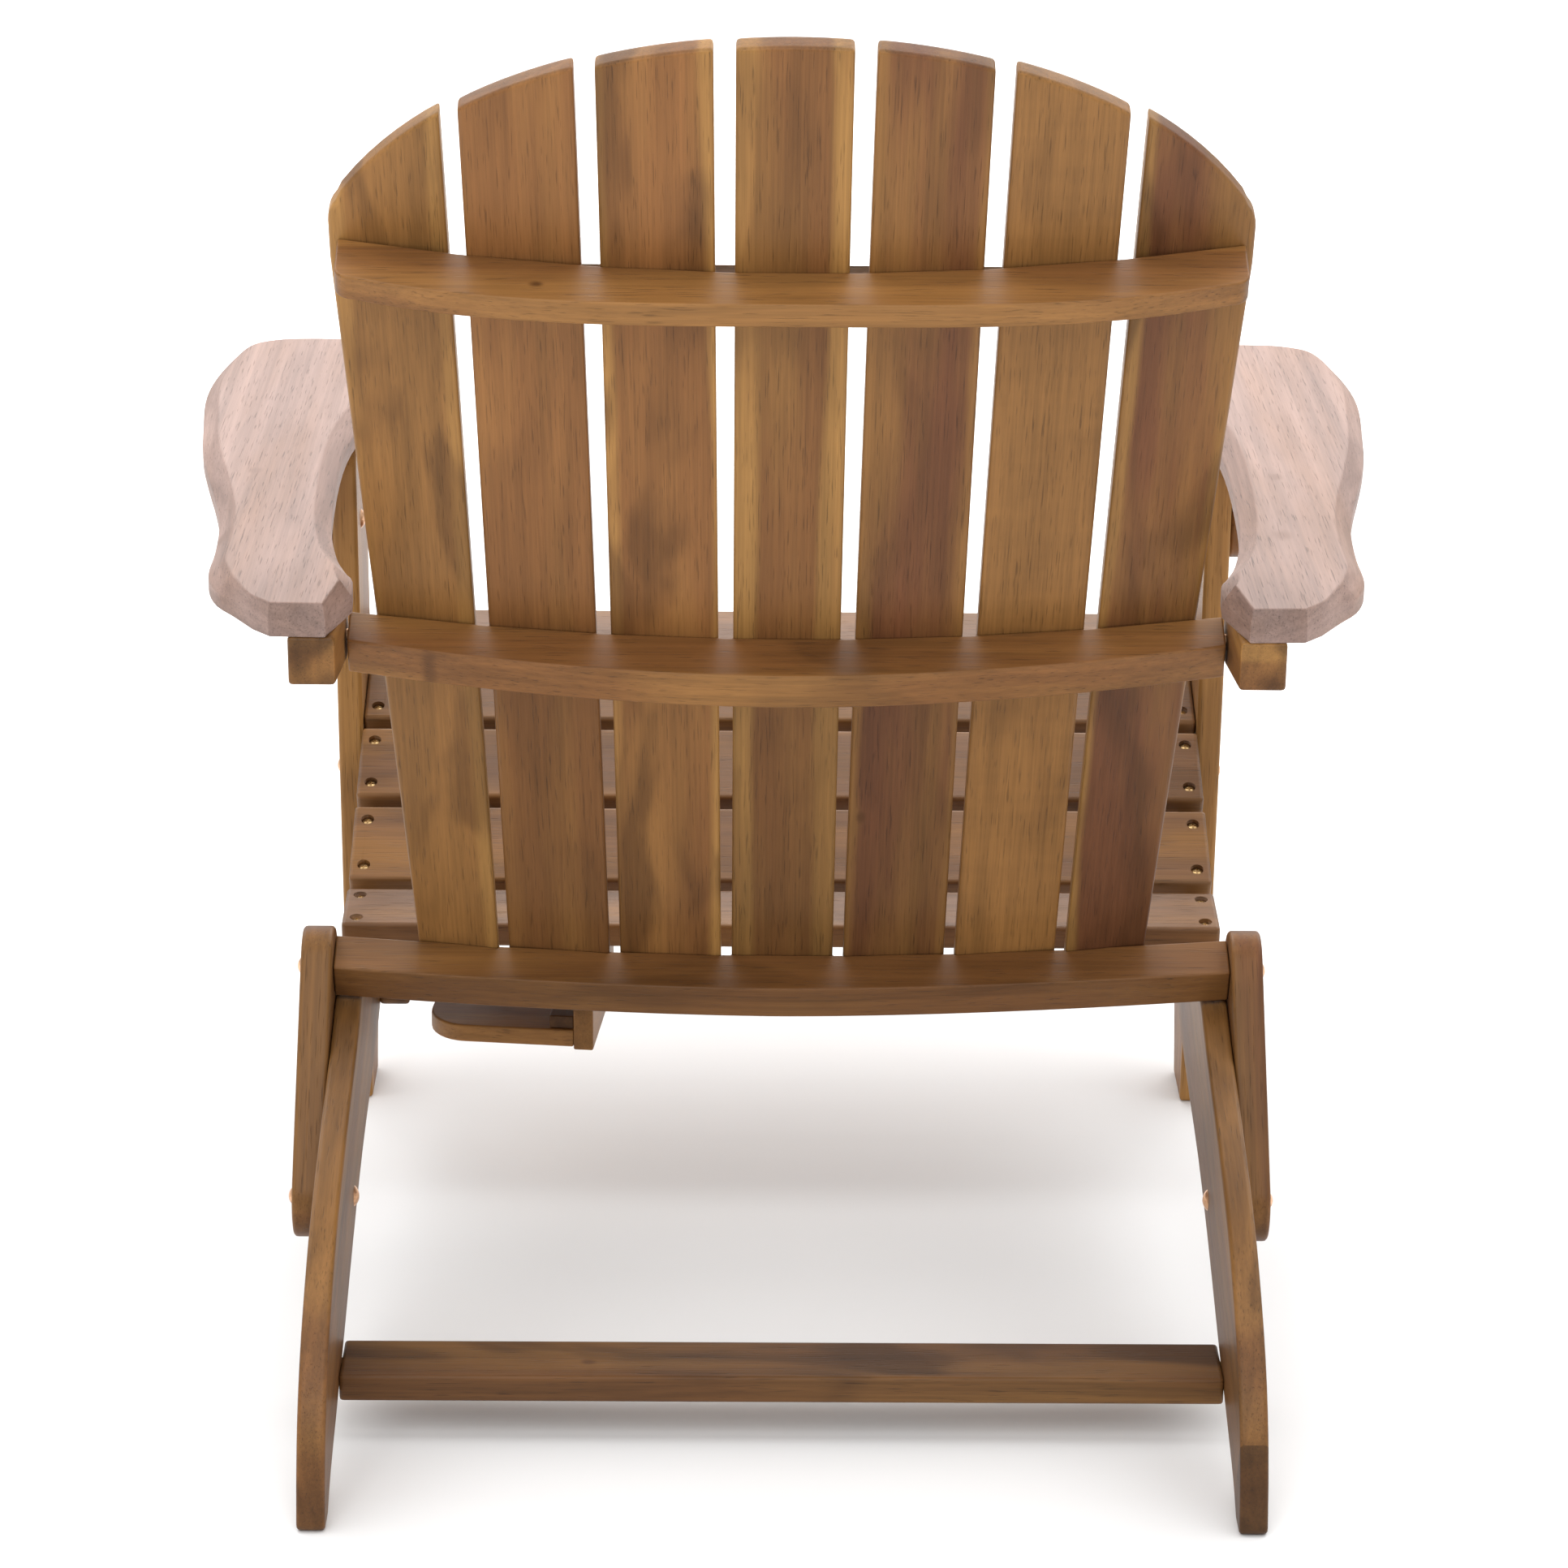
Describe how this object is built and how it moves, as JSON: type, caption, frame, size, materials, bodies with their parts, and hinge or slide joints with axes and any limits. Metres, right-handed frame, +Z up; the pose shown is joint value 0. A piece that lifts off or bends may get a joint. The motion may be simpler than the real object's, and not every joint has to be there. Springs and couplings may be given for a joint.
{
  "type": "folding adirondack chair",
  "caption": "Wooden folding lounge chair with a fanned reclined back, wide flat arms, a sloping slatted seat and a swing-out cup holder.",
  "frame": {"origin": "on the ground, under the middle of the chair's width and depth", "axes": "+Z up; the sitter faces -Y; +X is the sitter's left"},
  "size_m": [0.7632, 0.74, 0.8433],
  "materials": {
    "slat_wood": "oiled hardwood slats, streaked light and dark, soft sheen",
    "frame_wood": "oiled hardwood boards, soft sheen",
    "weathered_arm_wood": "oiled hardwood, paler and dry on the upper face",
    "dark_wood": "dark oiled hardwood",
    "brass_screw": "dull brass-plated cross-head wood screws",
    "copper_bolt": "copper-coloured domed bolt heads"
  },
  "bodies": {
    "seat_frame": {"side_board_left": "frame_wood", "side_board_right": "frame_wood", "rear_stretcher": "frame_wood", "front_cross_board": "frame_wood", "seat_slat_1": "slat_wood", "seat_slat_2": "slat_wood", "seat_slat_3": "slat_wood", "seat_slat_4": "slat_wood", "seat_slat_5": "slat_wood", "seat_screws": "brass_screw", "frame_screws": "brass_screw", "stop_block": "dark_wood", "leg_bolts": "copper_bolt", "rear_leg_bolts": "copper_bolt", "cup_pivot_bolt": "copper_bolt"},
    "front_legs": {"front_leg_left": "frame_wood", "front_leg_right": "frame_wood", "leg_barrel_nuts": "copper_bolt"},
    "links": {"link_left": "frame_wood", "link_right": "frame_wood"},
    "back": {"lower_back_rail": "frame_wood", "middle_back_rail": "frame_wood", "upper_back_rail": "frame_wood", "back_slat_1": "slat_wood", "back_slat_2": "slat_wood", "back_slat_3": "slat_wood", "back_slat_4": "slat_wood", "back_slat_5": "slat_wood", "back_slat_6": "slat_wood", "back_slat_7": "slat_wood", "back_screws": "brass_screw", "link_bolts": "copper_bolt", "arm_bolts": "copper_bolt"},
    "arms": {"arm_left": "weathered_arm_wood", "arm_right": "weathered_arm_wood", "arm_block_left": "frame_wood", "arm_block_right": "frame_wood", "arm_bracket_left": "frame_wood", "arm_bracket_right": "frame_wood", "bracket_bolts": "copper_bolt", "arm_screws": "brass_screw"},
    "cup_holder": {"cup_shelf": "frame_wood", "cup_side_wall": "frame_wood", "cup_top_board": "frame_wood", "cup_corner_batten": "frame_wood"}
  },
  "joints": [
    {"name": "back_fold", "type": "hinge", "parent": "links", "child": "back", "pos_m": [0, 0.039, 0.2095], "axis": [1, 0, 0], "range_deg": [0, 158.01]},
    {"name": "link_fold", "type": "hinge", "parent": "seat_frame", "child": "links", "pos_m": [0, 0.134, 0.097], "axis": [-1, 0, 0], "range_deg": [0, 66]},
    {"name": "arm_fold", "type": "hinge", "parent": "back", "child": "arms", "pos_m": [0, 0.116, 0.457], "axis": [-1, 0, 0], "range_deg": [0, 96.42]},
    {"name": "leg_fold", "type": "hinge", "parent": "seat_frame", "child": "front_legs", "pos_m": [0, -0.24, 0.236], "axis": [1, 0, 0], "range_deg": [0, 75.4]},
    {"name": "cup_swing", "type": "hinge", "parent": "seat_frame", "child": "cup_holder", "pos_m": [0.176, -0.297, 0.194], "axis": [0, 0, 1], "range_deg": [0, 220]}
  ],
  "couplings": [
    {"joint": "back_fold", "follows": "link_fold", "ratio": 2.3939},
    {"joint": "arm_fold", "follows": "link_fold", "ratio": 1.4608},
    {"joint": "leg_fold", "follows": "link_fold", "ratio": 1.1423}
  ]
}
